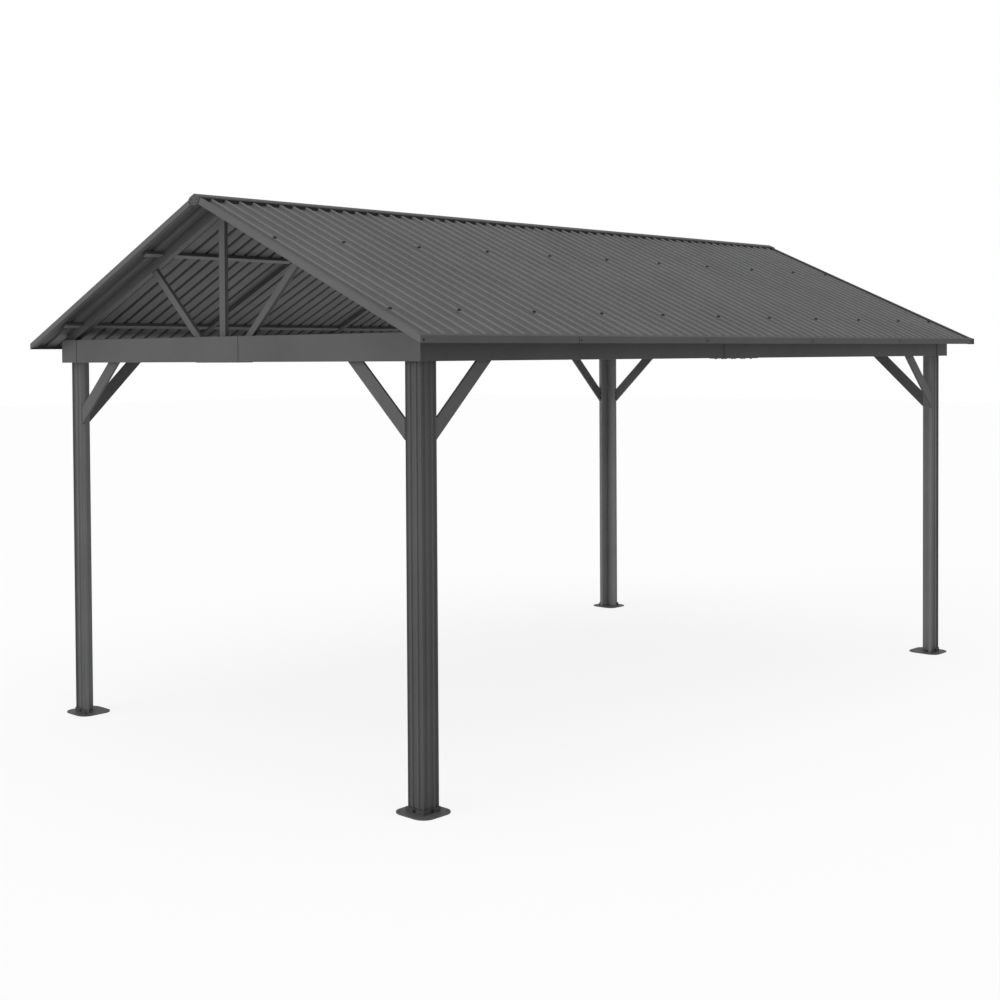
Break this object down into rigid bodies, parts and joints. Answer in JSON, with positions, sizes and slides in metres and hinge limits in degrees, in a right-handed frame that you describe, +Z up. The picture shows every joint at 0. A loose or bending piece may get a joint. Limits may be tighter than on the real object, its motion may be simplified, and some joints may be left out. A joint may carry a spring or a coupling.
{
  "type": "gable roof carport",
  "caption": "Open steel carport with a gable roof of ribbed sheets on corner posts, knee braces, box beams and rafters.",
  "frame": {"origin": "on the ground, in the middle of the plan", "axes": "+X across the gable to the right, +Y along the ridge to the back, +Z up; the front gable faces -Y"},
  "size_m": [3.604, 6.164, 3.2751],
  "materials": {
    "post_coat": "satin charcoal powder coat on fluted steel",
    "plate_coat": "satin charcoal powder coat",
    "frame_coat": "satin charcoal powder coat",
    "roof_sheet_coat": "matt charcoal coil coat on ribbed steel sheet",
    "trim_coat": "matt charcoal coil coat"
  },
  "bodies": {
    "root": {"post_front_left": "post_coat", "post_front_right": "post_coat", "post_back_left": "post_coat", "post_back_right": "post_coat", "base_plate_front_left": "plate_coat", "base_plate_front_right": "plate_coat", "base_plate_back_left": "plate_coat", "base_plate_back_right": "plate_coat", "front_beam_left_half": "frame_coat", "front_beam_right_half": "frame_coat", "back_beam_left_half": "frame_coat", "back_beam_right_half": "frame_coat", "left_beam_front_half": "frame_coat", "left_beam_back_half": "frame_coat", "right_beam_front_half": "frame_coat", "right_beam_back_half": "frame_coat", "gable_beam_splices": "frame_coat", "side_beam_splices": "frame_coat", "corner_cover_front_left": "frame_coat", "corner_cover_front_right": "frame_coat", "corner_cover_back_left": "frame_coat", "corner_cover_back_right": "frame_coat", "knee_braces_front_left": "frame_coat", "knee_braces_front_right": "frame_coat", "knee_braces_back_left": "frame_coat", "knee_braces_back_right": "frame_coat", "front_rafters": "frame_coat", "middle_rafters": "frame_coat", "back_rafters": "frame_coat", "front_king_post": "frame_coat", "back_king_post": "frame_coat", "front_struts": "frame_coat", "back_struts": "frame_coat", "ridge_beam": "frame_coat", "purlins_left": "frame_coat", "purlins_right": "frame_coat", "roof_sheets_left": "roof_sheet_coat", "roof_sheets_right": "roof_sheet_coat", "front_gable_trims": "trim_coat", "back_gable_trims": "trim_coat", "eave_trim_left": "trim_coat", "eave_trim_right": "trim_coat", "ridge_cap_front": "trim_coat", "ridge_cap_back": "trim_coat", "ridge_ends": "trim_coat"}
  },
  "joints": []
}
